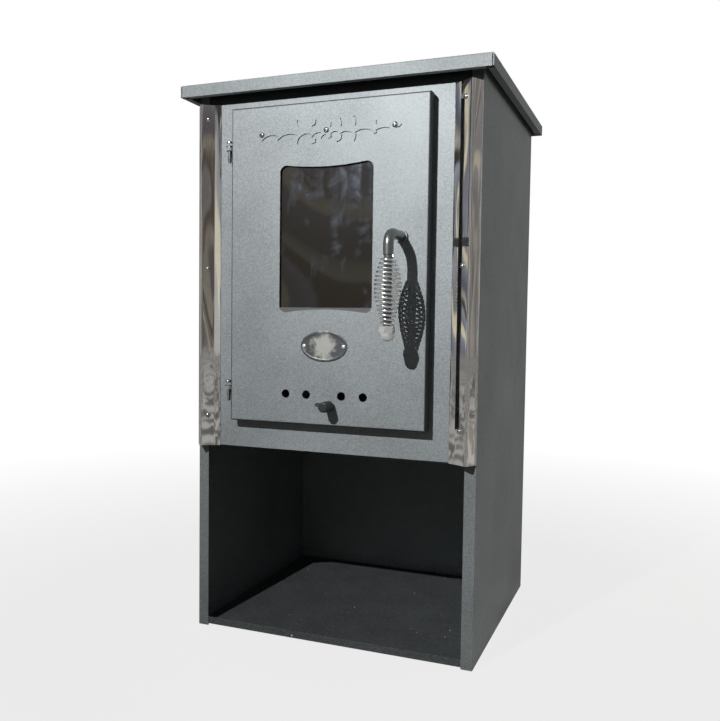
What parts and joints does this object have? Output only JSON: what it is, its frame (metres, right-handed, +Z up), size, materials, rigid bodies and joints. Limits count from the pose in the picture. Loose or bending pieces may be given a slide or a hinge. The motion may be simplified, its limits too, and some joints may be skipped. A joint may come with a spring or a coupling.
{
  "type": "wood stove",
  "caption": "Small free-standing steel wood stove: hinged window door with spring grip handle and air slider, firebrick fire chamber, rear flue spigot and open log store.",
  "frame": {"origin": "on the floor under the middle of the casing", "axes": "+Z up, -Y out of the door side, +X to the right of someone facing the door"},
  "size_m": [0.4334, 0.5085, 0.757],
  "materials": {
    "casing_paint": "anthracite stove paint, fine sand texture",
    "door_paint": "anthracite stove paint, fine sand texture",
    "bright_steel": "polished stainless steel",
    "fastener_steel": "zinc plated steel",
    "black_steel": "black stove enamel",
    "raw_steel": "plain mild steel sheet",
    "cast_iron": "rough casting",
    "fire_brick": "pressed fire clay",
    "stove_glass": "clear ceramic glass",
    "seal_fibre": "braided glass fibre",
    "badge_metal": "aged plain plate"
  },
  "bodies": {
    "root": {"side_panel_left": "casing_paint", "side_panel_right": "casing_paint", "rear_panel": "casing_paint", "rear_screws": "fastener_steel", "base_tray": "casing_paint", "niche_back": "casing_paint", "niche_ceiling": "casing_paint", "front_plate": "casing_paint", "top_rail": "casing_paint", "lid": "casing_paint", "corner_trim_left": "bright_steel", "corner_trim_right": "bright_steel", "trim_screws": "fastener_steel", "firebox_shell": "raw_steel", "flue_collar": "black_steel", "firebox_stays": "raw_steel", "shelf_ledges": "raw_steel", "grate_shelf": "raw_steel", "grate": "cast_iron", "side_brick_left": "fire_brick", "side_brick_right": "fire_brick", "rear_brick": "fire_brick", "baffle_plate": "fire_brick", "ember_guard": "raw_steel", "ash_pan": "raw_steel", "ash_pan_guides": "raw_steel", "latch_keeper": "raw_steel", "upper_frame_eye": "door_paint", "upper_hinge_pin": "fastener_steel", "upper_hinge_washer": "fastener_steel", "lower_frame_eye": "door_paint", "lower_hinge_pin": "fastener_steel", "lower_hinge_washer": "fastener_steel"},
    "door": {"door_skin": "door_paint", "ornament_plate": "door_paint", "ornament_screws": "fastener_steel", "badge_plate": "badge_metal", "badge_rivets": "fastener_steel", "glass_gasket": "seal_fibre", "window_glass": "stove_glass", "glass_clips": "raw_steel", "clip_screws": "fastener_steel", "door_liner": "raw_steel", "rope_seal": "seal_fibre", "slider_guides": "raw_steel", "handle_bush": "door_paint", "upper_door_eye": "door_paint", "lower_door_eye": "door_paint"},
    "air_slider_body": {"air_slider": "raw_steel", "slider_knob": "black_steel"},
    "handle": {"handle_rod": "black_steel", "handle_spring": "bright_steel", "handle_nut": "bright_steel", "latch_cam": "raw_steel", "latch_fasteners": "fastener_steel"}
  },
  "joints": [
    {"name": "door_hinge", "type": "hinge", "parent": "root", "child": "door", "pos_m": [-0.1467, -0.1845, 0.5105], "axis": [0, 0, -1], "range_deg": [0, 150]},
    {"name": "handle_turn", "type": "hinge", "parent": "door", "child": "handle", "pos_m": [0.1036, -0.193, 0.5446], "axis": [0, -1, 0], "range_deg": [0, 90]},
    {"name": "air_slide", "type": "slide", "parent": "door", "child": "air_slider_body", "axis": [1, 0, 0], "range_m": [-0.0185, 0]}
  ]
}
